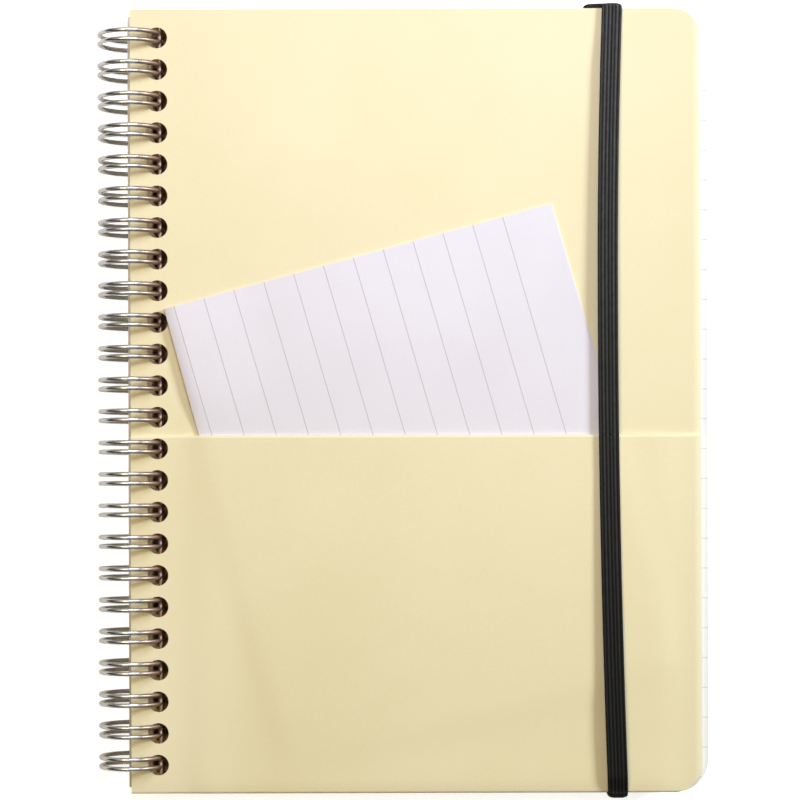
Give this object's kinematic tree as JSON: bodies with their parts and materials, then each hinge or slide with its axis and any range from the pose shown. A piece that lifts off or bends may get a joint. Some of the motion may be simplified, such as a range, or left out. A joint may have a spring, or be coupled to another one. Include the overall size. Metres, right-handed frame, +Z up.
{
  "type": "twin wire notebook",
  "caption": "Side-bound twin-wire notebook, closed by a ribbed elastic band, with a folded sheet in the pocket of its front card.",
  "frame": {"origin": "middle of the whole closed notebook, on the surface that it lies on, at the lowest point of the wire rings", "axes": "+X from the wire spine to the open edge, +Y from the foot to the head of the page, +Z up out of the front card"},
  "size_m": [0.164, 0.212, 0.018],
  "materials": {
    "wire": "bright plated wire",
    "cream_card": "smooth matte card",
    "ruled_paper": "matte ruled paper",
    "grey_board": "matte grey board",
    "woven_elastic": "ribbed woven elastic",
    "sheet_paper": "matte ruled paper"
  },
  "bodies": {
    "block": {"leaf_block": "ruled_paper", "twin_wire": "wire", "elastic_band": "woven_elastic"},
    "front": {"pocket_card": "cream_card", "loose_sheet": "sheet_paper"},
    "back": {"back_cover": "grey_board"}
  },
  "joints": [
    {"name": "front_turn", "type": "hinge", "parent": "block", "child": "front", "pos_m": [-0.07297, 0, 0.009], "axis": [0, -1, 0], "range_deg": [0, 180], "deforming": ["elastic_band"]},
    {"name": "back_turn", "type": "hinge", "parent": "block", "child": "back", "pos_m": [-0.07297, 0, 0.009], "axis": [0, -1, 0], "range_deg": [-180, 0]}
  ]
}
